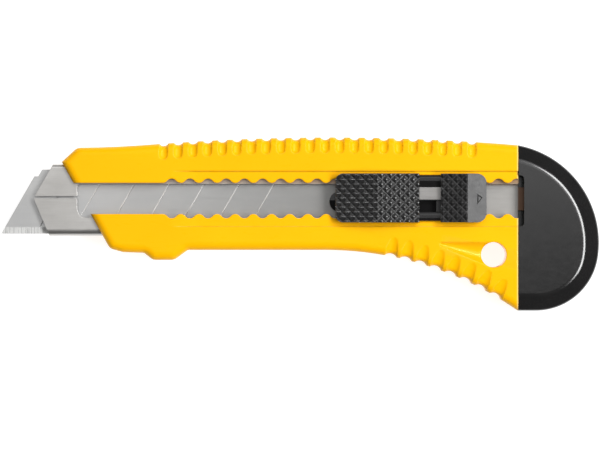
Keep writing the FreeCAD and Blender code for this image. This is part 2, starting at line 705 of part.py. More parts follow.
def slider_carrier():
    """Moulded slider: foot with nose boss and pin in the rail, neck in the slot, saddle on top."""
    rear_x = LOCK_REAR_X - FOOT_REAR_SET
    foot_way = section_along_x(rail_section(-RAIL_SHEET - SLIDE_GAP), (PIN_X, rear_x))
    foot = foot_way.common(box((PIN_X, rear_x), (RAIL_LOW_Y, RAIL_HIGH_Y), (FOOT_Z, FOOT_TOP_Z)))
    boss = Part.makeCylinder(BOSS_R, FOOT_TOP_Z - FOOT_Z, V(PIN_X, 0, FOOT_Z))
    pin = Part.makeCylinder(TAIL_HOLE_R - PIN_GAP, BLADE_THICK, V(PIN_X, 0, BLADE_Z))
    neck = box((PIN_X, rear_x), (NECK_LOW_Y, NECK_HIGH_Y), (FOOT_TOP_Z, SADDLE_Z))
    spigot = box((PAD_FRONT_X + PAD_WALL, PAD_REAR_X), (PAD_LOW_Y + PAD_WALL, PAD_HIGH_Y - PAD_WALL),
                 (SADDLE_Z, SADDLE_TOP_Z))
    low_y = PAD_LOW_Y + SADDLE_MARGIN
    high_y = PAD_HIGH_Y - SADDLE_MARGIN
    saddle = rounded_prism([
        (PAD_REAR_X, low_y, 0),
        (rear_x, low_y, LOCK_CORNER_R),
        (rear_x, high_y, LOCK_CORNER_R),
        (PAD_REAR_X, high_y, 0),
    ], (SADDLE_Z, SADDLE_TOP_Z))

    def top_side(edge):
        bounds = edge.BoundBox
        level = bounds.ZLength < 0.01 and bounds.Center.z > SADDLE_TOP_Z - 0.01
        return level and bounds.XLength > PAD_TO_LOCK
    saddle = fillet_where(saddle, SADDLE_EDGE_R, top_side)
    runway = section_along_x(guide_section(LOCK_GAP), (PAD_REAR_X - LOCK_TRAVEL, rear_x + 1))
    recess = section_along_x([
        (low_y + SADDLE_BAND, SADDLE_TOP_Z, 0),
        (SPRING_TAIL_LOW_Y, SADDLE_TOP_Z - SADDLE_RECESS, 0),
        (SPRING_TAIL_HIGH_Y, SADDLE_TOP_Z - SADDLE_RECESS, 0),
        (high_y - SADDLE_BAND, SADDLE_TOP_Z, 0),
        (high_y - SADDLE_BAND, SADDLE_TOP_Z + 1, 0),
        (low_y + SADDLE_BAND, SADDLE_TOP_Z + 1, 0),
    ], (PAD_REAR_X, rear_x - LOCK_CORNER_R))
    body = foot.multiFuse([boss, pin, neck, spigot, saddle])
    return body.cut(spring_slot() + [runway, recess]).removeSplitter()


def detent_spring():
    """Bent strip: a flat tail, a bridge, and two legs whose bumps sit in opposite waves."""
    leg_z, flat_z, top_z = spring_levels()
    half = SPRING_LEG_LENGTH / 2
    across = (NECK_LOW_Y + SPRING_ROOM, NECK_HIGH_Y - SPRING_ROOM)
    along = (BUMP_X - half, BUMP_X + half)
    bridge = box(along, across, (flat_z, top_z))
    tail = box((BUMP_X, along[1] + SPRING_TAIL_LENGTH), (SPRING_TAIL_LOW_Y, SPRING_TAIL_HIGH_Y),
               (flat_z, top_z))
    strip = bridge.fuse(tail)
    height = (leg_z, TRACK_Z - SPRING_ROOM / 2)
    root_y = {-1: SLOT_LOW_Y - WAVE_DEPTH, 1: SLOT_HIGH_Y + WAVE_DEPTH}
    for sign, outer in ((-1, across[0]), (1, across[1])):
        inner = outer - sign * SPRING_SHEET
        leg_y = (min(outer, inner), max(outer, inner))
        centre = V(BUMP_X, root_y[sign] - sign * (BUMP_R + SLIDE_GAP / 2), height[0])
        rise = height[1] - height[0]
        bump = Part.makeCylinder(BUMP_R, rise, centre)
        hollow = Part.makeCylinder(BUMP_R - SPRING_SHEET, rise, centre)
        beyond_y = tuple(sorted((outer, outer + sign * 3 * BUMP_R)))
        beyond = box((BUMP_X - BUMP_R, BUMP_X + BUMP_R), beyond_y, height)
        strip = strip.fuse(box(along, leg_y, (leg_z, top_z)))
        strip = strip.cut(hollow).fuse(bump.cut(hollow).common(beyond))
    return strip.removeSplitter()


def knurl_tools(x, y, height_at, slope):
    """V grooves along both diagonals of a rectangle whose top slopes along X."""
    centre = V((x[0] + x[1]) / 2, (y[0] + y[1]) / 2, 0)
    reach = math.hypot(x[1] - x[0], y[1] - y[0]) / 2
    count = int(reach / KNURL_PITCH)
    tilt = math.degrees(math.atan(slope))
    tools = []
    for diagonal in (45, -45):
        for i in range(-count, count + 1):
            offset = i * KNURL_PITCH
            wide = 2 * KNURL_HALF_WIDTH
            groove = section_along_y([(offset, -KNURL_DEPTH), (offset + wide, KNURL_DEPTH),
                                      (offset - wide, KNURL_DEPTH)], (-2 * reach, 2 * reach))
            groove.rotate(V(0, 0, 0), V(0, 0, 1), diagonal)
            tools.append(groove)
    cutter = tools[0].multiFuse(tools[1:])
    cutter.rotate(V(0, 0, 0), V(0, 1, 0), -tilt)
    cutter.translate(V(centre.x, centre.y, height_at))
    return cutter.common(box(x, (y[0] - 1, y[1] + 1), (0, 2 * HANDLE_THICK)))


def thumb_pad():
    """Roof-shaped knurled pad, hollow underneath to press onto the carrier's spigot."""
    ridge_x = (PAD_FRONT_X + PAD_REAR_X) / 2
    end_z = TRACK_Z + PAD_END_RISE
    ridge_z = TRACK_Z + PAD_RIDGE_RISE
    plan = rounded_prism([
        (PAD_FRONT_X, PAD_LOW_Y, PAD_CORNER_R),
        (PAD_REAR_X, PAD_LOW_Y, 0),
        (PAD_REAR_X, PAD_HIGH_Y, 0),
        (PAD_FRONT_X, PAD_HIGH_Y, PAD_CORNER_R),
    ], (SADDLE_Z, ridge_z))
    roof = section_along_y([
        (PAD_FRONT_X, SADDLE_Z), (PAD_REAR_X, SADDLE_Z), (PAD_REAR_X, end_z), (ridge_x, ridge_z),
        (PAD_FRONT_X, end_z),
    ], (PAD_LOW_Y, PAD_HIGH_Y))
    pad = plan.common(roof)
    slope = (ridge_z - end_z) / (ridge_x - PAD_FRONT_X)
    middle_z = (ridge_z + end_z) / 2
    front = knurl_tools((PAD_FRONT_X - 1, ridge_x), (PAD_LOW_Y, PAD_HIGH_Y), middle_z - slope / 2, slope)
    rear = knurl_tools((ridge_x, PAD_REAR_X + 1), (PAD_LOW_Y, PAD_HIGH_Y), middle_z - slope / 2, -slope)
    hollow = box((PAD_FRONT_X + PAD_WALL - FIT_GAP, PAD_REAR_X + 1),
                 (PAD_LOW_Y + PAD_WALL - FIT_GAP, PAD_HIGH_Y - PAD_WALL + FIT_GAP),
                 (SADDLE_Z - 1, SADDLE_TOP_Z + FIT_GAP))
    return pad.cut([front, rear, hollow])


def arrow_tool(x, z):
    """Outlined triangle with a bar, pointing to the rear."""
    middle_y = (PAD_LOW_Y + PAD_HIGH_Y) / 2 - ARROW_STROKE
    half = ARROW_HEIGHT / 2
    outer = prism([(x, middle_y - half), (x + ARROW_WIDTH, middle_y + half / 3), (x, middle_y + half)], z)
    step = ARROW_STROKE
    inner = prism([
        (x + step, middle_y - half + 2 * step),
        (x + ARROW_WIDTH - step, middle_y + half / 3 - step / 3),
        (x + step, middle_y + half - 2 * step),
    ], z)
    return outer.cut(inner)


def lock_slider():
    """Lock button: knurled block, ramp with an arrow, and a hooked runner that stops at the spring."""
    low_y = PAD_LOW_Y + LOCK_MARGIN
    high_y = PAD_HIGH_Y - LOCK_MARGIN
    under_z = SADDLE_TOP_Z + LOCK_GAP
    top_z = TRACK_Z + LOCK_RISE
    step_x = LOCK_FRONT_X + LOCK_KNURL_LENGTH
    tail_z = TRACK_Z + LOCK_TAIL_RISE
    plan = rounded_prism([
        (LOCK_FRONT_X, low_y, 0),
        (LOCK_REAR_X, low_y, LOCK_CORNER_R),
        (LOCK_REAR_X, high_y, LOCK_CORNER_R),
        (LOCK_FRONT_X, high_y, 0),
    ], (under_z, top_z))
    side = section_along_y([
        (LOCK_FRONT_X, under_z), (LOCK_REAR_X, under_z), (LOCK_REAR_X, tail_z), (step_x, top_z - LOCK_STEP),
        (step_x, top_z), (LOCK_FRONT_X, top_z),
    ], (low_y, high_y))
    block = plan.common(side)
    knurl = knurl_tools((LOCK_FRONT_X - 1, step_x), (low_y, high_y), top_z, 0.0)
    lead_x = BUMP_X + SPRING_LEG_LENGTH / 2 + SPRING_ROOM + LOCK_TRAVEL
    runner = section_along_x(guide_section(0), (lead_x, LOCK_REAR_X - LOCK_CORNER_R))
    runner = runner.cut(box((LOCK_FRONT_X, LOCK_REAR_X), (low_y, high_y), (under_z, top_z + 1)))
    runner = runner.cut(box((lead_x - 1, LOCK_FRONT_X), (low_y, high_y),
                            (SADDLE_TOP_Z - LOCK_GAP, top_z + 1)))
    arrow_x = (step_x + LOCK_REAR_X) / 2
    ramp_slope = (top_z - LOCK_STEP - tail_z) / (LOCK_REAR_X - step_x)
    arrow_z = tail_z + ramp_slope * (LOCK_REAR_X - arrow_x)
    arrow = arrow_tool(arrow_x, (arrow_z - ARROW_DEPTH - ramp_slope * ARROW_WIDTH, top_z))
    return block.cut([knurl, arrow]).fuse(runner)


def cap_plan(inset=0.0):
    """Face of the cap's outline: a long arc from the spine, tangent to a tighter one at the belly."""
    top = V(CAP_GAP, spine_y(0), 0)
    bottom_y = belly_y(0)
    small = V(CAP_LENGTH - CAP_BELLY_R, bottom_y + CAP_BELLY_R, 0)
    between = CAP_SPINE_R - CAP_BELLY_R
    to_top = top - small
    along = (between ** 2 - CAP_SPINE_R ** 2 + to_top.Length ** 2) / (2 * to_top.Length)
    aside = math.sqrt(between ** 2 - along ** 2)
    unit = V(to_top.x, to_top.y, 0).normalize()
    large = small + unit * along + V(unit.y, -unit.x, 0) * -aside
    outward = (small - large).normalize()
    meet = small + outward * CAP_BELLY_R
    start_angle = math.atan2(top.y - large.y, top.x - large.x)
    end_angle = math.atan2(outward.y, outward.x)
    middle_angle = (start_angle + end_angle) / 2
    large_middle = large + V(math.cos(middle_angle), math.sin(middle_angle), 0) * CAP_SPINE_R
    low_angle = (end_angle - math.pi / 2) / 2
    small_middle = small + V(math.cos(low_angle), math.sin(low_angle), 0) * CAP_BELLY_R
    bottom = V(small.x, bottom_y, 0)
    bottom_joint = V(CAP_GAP, bottom_y, 0)
    face = Part.Face(Part.Wire([
        Part.Arc(top, large_middle, meet).toShape(),
        Part.Arc(meet, small_middle, bottom).toShape(),
        Part.LineSegment(bottom, bottom_joint).toShape(),
        Part.LineSegment(bottom_joint, top).toShape(),
    ]))
    if inset:
        face = face.makeOffset2D(-inset)
    return face


def end_cap():
    """Hollow rounded cap with a notch that clears the lock, and two tongues into the handle."""
    thick = HANDLE_THICK + CAP_PROUD
    solid = cap_plan().extrude(V(0, 0, thick))

    def rim_at(height):
        def wanted(edge):
            bounds = edge.BoundBox
            level = bounds.ZLength < 0.01 and abs(bounds.Center.z - height) < 0.01
            return level and bounds.XMax > CAP_GAP + 0.1
        return wanted
    rim = rim_at(thick)
    solid = solid.makeChamfer(CAP_BEVEL_DROP, CAP_BEVEL_RUN, [edge for edge in solid.Edges if rim(edge)])
    solid = fillet_where(solid, CAP_CREASE_R, rim)
    solid = fillet_where(solid, CAP_RIM_R, rim_at(thick - CAP_BEVEL_DROP))
    blank = fillet_where(solid, CAP_BACK_RIM_R, rim_at(0))
    hollow_z = (CAP_FACE_WALL, thick - CAP_FACE_WALL)
    hollow = cap_plan(CAP_SIDE_WALL).extrude(V(0, 0, hollow_z[1] - hollow_z[0]))
    hollow.translate(V(0, 0, hollow_z[0]))
    bounds = hollow.BoundBox
    mouth_rear = CAP_GAP + 2 * CAP_SIDE_WALL
    mouth = box((-1, mouth_rear), (bounds.YMin, spine_y(0) - CAP_MOUTH_SHOULDER), hollow_z)
    notch = rounded_prism([
        (-1, CAP_NOTCH_LOW_Y, 0),
        (CAP_GAP + CAP_NOTCH_DEPTH, CAP_NOTCH_LOW_Y, CAP_NOTCH_R),
        (CAP_GAP + CAP_NOTCH_DEPTH, CAP_NOTCH_HIGH_Y, CAP_NOTCH_R),
        (-1, CAP_NOTCH_HIGH_Y, 0),
    ], (hollow_z[1] - 1, thick + 1))
    solid = blank.cut([hollow, mouth, notch])
    lower = tongue_box(LOWER_TONGUE_Y, 0, (-TONGUE_LENGTH, CAP_GAP))
    upper = tongue_box(UPPER_TONGUE_Y, 0, (-TONGUE_LENGTH, CAP_GAP))
    lower_rib = tongue_box(LOWER_TONGUE_Y, 0, (CAP_GAP, CAP_LENGTH)).common(blank)
    upper_rib = tongue_box(UPPER_TONGUE_Y, 0, (CAP_GAP, mouth_rear)).common(blank)
    return solid.multiFuse([lower, lower_rib, upper, upper_rib]).removeSplitter()


BUILDERS = {
    "handle_body": handle_body,
    "blade_rail": blade_rail,
    "blade": blade,
    "slider_carrier": slider_carrier,
    "detent_spring": detent_spring,
    "thumb_pad": thumb_pad,
    "lock_slider": lock_slider,
    "end_cap": end_cap,
}


def row_shift(shapes):
    """Move that puts the origin under the middle of the whole knife's box."""
    bounds = Part.makeCompound(shapes).optimalBoundingBox(False)
    return V(-(bounds.XMin + bounds.XMax) / 2, -(bounds.YMin + bounds.YMax) / 2, -bounds.ZMin)


def main():
    """Build every piece, move it into the finished frame and write it."""
    os.makedirs("parts", exist_ok=True)
    pieces = {name: build() for name, build in BUILDERS.items()}
    shift = row_shift(list(pieces.values()))
    for name, shape in pieces.items():
        shape.translate(shift)
        shape.exportStep(f"parts/{name}.step")
        print(name, shape.ShapeType, len(shape.Solids), shape.isValid(), round(shape.Volume, 1))
    print("shift", [round(value, 3) for value in shift])
    print("blade_slide", [round(waves * WAVE_PITCH, 3) for waves in (-SLIDE_WAVES_BACK, SLIDE_WAVES_FORWARD)])
    print("lock_slide", round(LOCK_TRAVEL, 3), "cap_pull", CAP_TRAVEL)


main()
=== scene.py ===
"""Looks for the snap-off utility knife: materials, floor, light and camera round the CAD frame."""
import json
import math

import bpy
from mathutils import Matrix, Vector


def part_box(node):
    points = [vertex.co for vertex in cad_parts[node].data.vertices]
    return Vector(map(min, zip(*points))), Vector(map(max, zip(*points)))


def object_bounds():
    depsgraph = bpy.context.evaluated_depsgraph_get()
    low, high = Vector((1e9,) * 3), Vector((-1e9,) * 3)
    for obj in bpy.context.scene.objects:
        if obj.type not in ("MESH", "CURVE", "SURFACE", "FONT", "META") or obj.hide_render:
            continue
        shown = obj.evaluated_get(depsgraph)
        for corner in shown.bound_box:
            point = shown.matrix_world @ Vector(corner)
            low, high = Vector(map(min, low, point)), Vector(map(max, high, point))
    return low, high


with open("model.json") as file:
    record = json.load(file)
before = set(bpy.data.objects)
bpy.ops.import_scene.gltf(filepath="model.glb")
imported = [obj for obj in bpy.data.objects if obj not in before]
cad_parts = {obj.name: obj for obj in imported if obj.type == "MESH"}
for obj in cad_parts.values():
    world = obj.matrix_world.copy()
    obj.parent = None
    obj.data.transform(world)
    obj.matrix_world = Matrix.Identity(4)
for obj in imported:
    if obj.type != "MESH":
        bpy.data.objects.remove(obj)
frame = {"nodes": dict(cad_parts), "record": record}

CAD_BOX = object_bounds()
NODES = frame["nodes"]
MM = 0.001

# Camera: straight down on the thumb side, blade to the left, from far away with a long lens.
CAMERA_DISTANCE = 1.5
SENSOR_WIDTH = 36.0
VIEW_WIDTH = 168.1 * MM
VIEW_CENTRE = (0.0, -0.28 * MM)
FACE_HEIGHT = 13.5 * MM

# Smooth shading stops at edges sharper than this.
SHARP_EDGE = math.radians(32)

# The polished thumb scoop: its angle to the knife, how far it reaches from the hanging hole, how
# slowly its polish starts, half its width and how soft its sides are.
SCOOP_TURN = math.radians(11.1)
SCOOP_LENGTH = 15.5 * MM
SCOOP_FADE = 2.5 * MM
SCOOP_HALF_WIDTH = 3.0 * MM
SCOOP_EDGE = 0.8 * MM

# Painted highlight along the handle's rear edge, a pale line: where it starts, and where it is at its
# palest.
JOINT_HIGHLIGHT = (0.45 * MM, 0.15 * MM)

# Rail: lengths from its rear end where its painted shade darkens it, and where the tail's brown painted
# shade and reflection starts.
RAIL_SHADE = (60 * MM, 10 * MM)
RAIL_TAIL = (4.1 * MM, 3.7 * MM)
# Its upper lip, painted brown as painted shade and yellow reflection: below its spine edge, and from its
# front and rear ends.
RAIL_LIP = (6.11 * MM, 5.11 * MM)
RAIL_LIP_ENDS = (16 * MM, 50 * MM)

# Blade: the ground band's height, painted lighter as a painted highlight, and the stretch painted darker as
# painted shade, from its point and from its tail.
GROUND_BAND = (1.95 * MM, 1.70 * MM)
BLADE_SHADE_ENDS = (22 * MM, 8 * MM)

# Hollow in the saddle, above the lock's lower side, made less reflective as painted shade.
SADDLE_HOLLOW = (2.2 * MM, 6.3 * MM)

# Floor: half its side, the gap under the knife, its grey and its own glow.
FLOOR_HALF = 3.0
FLOOR_GAP = 0.02 * MM
FLOOR_GREY = (0.40, 0.40, 0.40)
FLOOR_GLOW = 0.86

# Lights: place, size and power, and the strength of the surroundings.
KEY = ((0.59, 0.104, 0.92), (1.0, 0.35), 15.0)
OVERHEAD = ((-0.05, 0.40, 0.91), (1.1, 0.9), 3.6)
SURROUNDINGS = 0.10


class Shader:
    """One procedural material: short names for the nodes that it is built from."""

    def __init__(self, name):
        self.material = bpy.data.materials.new(name)
        self.material.use_nodes = True
        self.tree = self.material.node_tree
        self.surface = self.tree.nodes["Principled BSDF"]
        self.place = self.add("ShaderNodeTexCoord").outputs["Object"]

    def add(self, kind, **settings):
        """A new node with its properties set."""
        node = self.tree.nodes.new(kind)
        for key, value in settings.items():
            setattr(node, key, value)
        return node

    def join(self, output, socket):
        self.tree.links.new(output, socket)

    def feed(self, node, socket, value):
        """Links an output into a socket, or sets a plain value on it."""
        if isinstance(value, bpy.types.NodeSocket):
            self.join(value, node.inputs[socket])
        else:
            node.inputs[socket].default_value = value

    def set(self, **values):
        """Plain values on the surface's own sockets."""
        for key, value in values.items():
            self.surface.inputs[key.replace("_", " ")].default_value = value

    def axes(self, vector):
        """The three components of a vector output."""
        node = self.add("ShaderNodeSeparateXYZ")
        self.join(vector, node.inputs[0])
        return node.outputs

    def stretched(self, x, y, z, turn=0.0):
        """Object coordinates in millimetres, scaled per axis and turned about Z."""
        mapping = self.add("ShaderNodeMapping")
        self.join(self.place, mapping.inputs["Vector"])
        mapping.inputs["Rotation"].default_value = (0, 0, turn)
        mapping.inputs["Scale"].default_value = (x / MM, y / MM, z / MM)
        return mapping.outputs["Vector"]

    def noise(self, where, scale=1.0, detail=3.0, rough=0.5, seed=0.0):
        node = self.add("ShaderNodeTexNoise", noise_dimensions="4D")
        self.join(where, node.inputs["Vector"])
        self.feed(node, "Scale", scale)
        self.feed(node, "Detail", detail)
        self.feed(node, "Roughness", rough)
        self.feed(node, "W", seed)
        return node.outputs["Fac"]

    def ramp(self, value, stops):
        """Colour ramp through (place, colour) stops."""
        node = self.add("ShaderNodeValToRGB")
        self.join(value, node.inputs["Fac"])
        elements = node.color_ramp.elements
        while len(elements) < len(stops):
            elements.new(0.5)
        for element, (place, colour) in zip(elements, stops):
            element.position = place
            element.color = (*colour, 1.0)
        return node.outputs["Color"]

    def span(self, value, low, high, to_low, to_high):
        """Value moved from one range to another, clamped."""
        node = self.add("ShaderNodeMapRange")
        self.join(value, node.inputs["Value"])
        numbers = {"From Min": low, "From Max": high, "To Min": to_low, "To Max": to_high}
        for socket, number in numbers.items():
            node.inputs[socket].default_value = number
        return node.outputs["Result"]

    def maths(self, operation, a, b=0.5):
        node = self.add("ShaderNodeMath", operation=operation)
        for index, value in enumerate((a, b)):
            self.feed(node, index, value)
        return node.outputs[0]

    def mix(self, factor, a, b, blend="MIX"):
        """Colour mix of two colours or outputs."""
        node = self.add("ShaderNodeMix", data_type="RGBA", blend_type=blend)
        self.feed(node, 0, factor)
        for index, value in ((6, a), (7, b)):
            self.feed(node, index, value if isinstance(value, bpy.types.NodeSocket) else (*value, 1.0))
        return node.outputs[2]

    def edges(self, radius):
        """0 on open faces, rising to 1 along convex and concave edges."""
        bevel = self.add("ShaderNodeBevel", samples=6)
        bevel.inputs["Radius"].default_value = radius
        plain = self.add("ShaderNodeNewGeometry").outputs["Normal"]
        dot = self.add("ShaderNodeVectorMath", operation="DOT_PRODUCT")
        self.join(bevel.outputs["Normal"], dot.inputs[0])
        self.join(plain, dot.inputs[1])
        return self.span(dot.outputs["Value"], 0.80, 0.995, 1.0, 0.0)

    def rounded(self, radius):
        """Normal with edges softened over a radius."""
        bevel = self.add("ShaderNodeBevel", samples=6)
        bevel.inputs["Radius"].default_value = radius
        return bevel.outputs["Normal"]

    def bump(self, height, distance, normal=None, strength=1.0):
        node = self.add("ShaderNodeBump")
        self.feed(node, "Strength", strength)
        self.feed(node, "Distance", distance)
        self.join(height, node.inputs["Height"])
        if normal is not None:
            self.join(normal, node.inputs["Normal"])
        return node.outputs["Normal"]

    def finish(self, colour, roughness, normal):
        """Wires the three things that every finish here varies over the surface."""
        self.join(colour, self.surface.inputs["Base Color"])
        self.join(roughness, self.surface.inputs["Roughness"])
        self.join(normal, self.surface.inputs["Normal"])
        return self.material


def scoop(s):
    """1 inside the polished thumb scoop beside the hanging hole, 0 elsewhere."""
    hole = next(mount["pos_m"] for mount in frame["record"]["mounts"] if mount["name"] == "hang_hole")
    turned = s.add("ShaderNodeVectorRotate", rotation_type="Z_AXIS")
    s.join(s.place, turned.inputs["Vector"])
    turned.inputs["Center"].default_value = hole
    turned.inputs["Angle"].default_value = SCOOP_TURN
    along, across, _ = s.axes(turned.outputs["Vector"])
    start_x = hole[0] - SCOOP_LENGTH
    reach = s.span(along, start_x, start_x + SCOOP_FADE, 0.0, 1.0)
    near = s.maths("ABSOLUTE", s.maths("SUBTRACT", across, hole[1]))
    inside = s.span(near, SCOOP_HALF_WIDTH - SCOOP_EDGE, SCOOP_HALF_WIDTH, 1.0, 0.0)
    return s.maths("MULTIPLY", reach, inside)


def yellow_plastic():
    """Glossy moulded ABS: slightly uneven colour, faint flow marks, fine orange peel, edges rubbed paler,
    partly wear and partly a painted edge highlight.

    The scoop beside the hanging hole is polished, and a painted highlight runs as a pale line along the rear
    edge.
    """
    s = Shader("handle_yellow")
    cloud = s.noise(s.stretched(0.05, 0.09, 0.09), detail=4.0, seed=1.3)
    colour = s.ramp(cloud, [(0.30, (0.960, 0.462, 0.0010)), (0.72, (0.980, 0.490, 0.0018))])
    worn_and_highlit = s.edges(0.30 * MM)
    patchy = s.noise(s.stretched(0.5, 0.5, 0.5), detail=5.0, seed=4.0)
    rubbed_and_highlit = s.maths("MULTIPLY", worn_and_highlit, s.span(patchy, 0.38, 0.66, 0.15, 0.75))
    # edges painted paler: partly wear, partly a painted edge highlight
    colour = s.mix(rubbed_and_highlit, colour, (1.0, 0.66, 0.12))
    smears = s.noise(s.stretched(0.25, 0.9, 0.9, 0.4), detail=6.0, rough=0.6, seed=7.0)
    roughness = s.span(smears, 0.35, 0.70, 0.26, 0.36)
    peel = s.noise(s.stretched(0.9, 0.9, 0.9), detail=2.0, seed=9.0)
    scratches = s.noise(s.stretched(0.35, 9.0, 9.0, 0.25), detail=2.0, rough=0.4, seed=12.0)
    scratched = s.span(scratches, 0.70, 0.76, 0.0, 1.0)
    normal = s.bump(peel, 0.010 * MM, s.rounded(0.65 * MM))
    normal = s.bump(scratched, -0.003 * MM, normal)
    s.set(IOR=1.5, Specular_Tint=(1.0, 0.82, 0.34, 1.0))
    rear_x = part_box("handle_body")[1].x
    # painted highlight: a pale line along the handle's rear edge
    joint_highlight = s.span(s.axes(s.place)[0], rear_x - JOINT_HIGHLIGHT[0], rear_x - JOINT_HIGHLIGHT[1], 0.0, 0.55)
    colour = s.mix(joint_highlight, colour, (1.0, 0.72, 0.30))
    polished = scoop(s)
    s.join(s.span(polished, 0.0, 1.0, 0.20, 1.0), s.surface.inputs["Specular IOR Level"])
    roughness = s.mix(polished, roughness, (0.13, 0.13, 0.13))
    return s.finish(colour, roughness, normal)


def steel(name, dark, light, brush, brush_height, rough, seed):
    """Sheet steel with brushing along the knife, a soft mottle, duller smears, and edges painted bright,
    partly bright cut steel and partly a painted highlight.
    """
    s = Shader(name)
    along, across = brush
    grain = s.noise(s.stretched(along, across, across), detail=3.0, rough=0.6, seed=seed)
    mottle = s.noise(s.stretched(0.12, 0.2, 0.2), detail=4.0, seed=seed + 2)
    blend = s.maths("ADD", s.maths("MULTIPLY", grain, 0.35), s.maths("MULTIPLY", mottle, 0.65))
    colour = s.ramp(blend, [(0.35, dark), (0.66, light)])
    # edges painted near-white: partly bright cut steel, partly a painted highlight
    colour = s.mix(s.edges(0.14 * MM), colour, (0.95, 0.94, 0.92))
    roughness = s.span(grain, 0.3, 0.7, rough[0], rough[1])
    normal = s.bump(grain, brush_height, s.rounded(0.12 * MM))
    s.set(Metallic=1.0)
    s.finish(colour, roughness, normal)
    return s, colour


def rail_steel():
    """Rail sheet: painted darker towards the rear as painted shade, with brown painted shade and yellow
    reflection on its upper lip and on the tail in the cap.
    """
    s, colour = steel("rail_sheet", (0.455, 0.443, 0.425), (0.545, 0.533, 0.515), (0.12, 4.0),
                      0.004 * MM, (0.32, 0.42), 31.0)
    low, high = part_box("blade_rail")
    x, y, _ = s.axes(s.place)
    # painted shade: the rail darker towards its rear
    painted_shade = s.span(x, high.x - RAIL_SHADE[0], high.x - RAIL_SHADE[1], 0.0, 0.8)
    colour = s.mix(painted_shade, colour, (0.27, 0.262, 0.25))
    # painted shade with a yellow reflection: the tail in the cap's notch painted dark brown
    tail = s.span(x, high.x - RAIL_TAIL[0], high.x - RAIL_TAIL[1], 0.0, 0.92)
    colour = s.mix(tail, colour, (0.115, 0.060, 0.035))
    # painted shade and yellow reflection: the upper lip painted brown
    upper = s.span(y, high.y - RAIL_LIP[0], high.y - RAIL_LIP[1], 0.0, 0.75)
    behind = s.span(x, low.x + RAIL_LIP_ENDS[0], high.x - RAIL_LIP_ENDS[1], 0.0, 1.0)
    colour = s.mix(s.maths("MULTIPLY", upper, behind), colour, (0.30, 0.17, 0.07))
    s.join(colour, s.surface.inputs["Base Color"])
    return s.material


def black_plastic(name, base, rough, grain_height, edge_light, gloss, hollow=None):
    """Black moulding: faint mottle, fine texture, edges rubbed greyer, partly wear and partly a painted edge
    highlight; hollow is a band along Y made less reflective as painted shade.
    """
    s = Shader(name)
    mottle = s.noise(s.stretched(0.22, 0.22, 0.22), detail=5.0, seed=base * 100)
    dark = (base * 0.80, base * 0.78, base * 0.80)
    light = (base * 1.15, base * 1.10, base * 1.10)
    colour = s.ramp(mottle, [(0.35, dark), (0.70, light)])
    worn_and_highlit = s.edges(0.20 * MM)
    rubbed_and_highlit = s.maths("MULTIPLY", worn_and_highlit, s.span(mottle, 0.40, 0.65, 0.2, 0.8))
    # edges painted greyer: partly wear, partly a painted edge highlight
    colour = s.mix(rubbed_and_highlit, colour, (edge_light, edge_light, edge_light))
    smears = s.noise(s.stretched(0.5, 1.2, 1.2, 0.7), detail=6.0, rough=0.65, seed=3.0)
    roughness = s.span(smears, 0.32, 0.70, rough[0], rough[1])
    fine = s.noise(s.stretched(2.2, 2.2, 2.2), detail=3.0, seed=6.0)
    normal = s.bump(fine, grain_height, s.rounded(0.10 * MM))
    s.set(IOR=1.5, Specular_IOR_Level=gloss)
    if hollow:
        y = s.axes(s.place)[1]
        above = s.span(y, hollow[0], hollow[0] + 0.8 * MM, 0.0, 1.0)
        below = s.span(y, hollow[1] - 0.2 * MM, hollow[1], 1.0, 0.0)
        painted_shade = s.maths("MULTIPLY", above, below)
        # painted shade: the hollow band reflects less, standing in for its shade
        s.join(s.span(painted_shade, 0.0, 1.0, gloss, 0.06), s.surface.inputs["Specular IOR Level"])
    return s.finish(colour, roughness, normal)


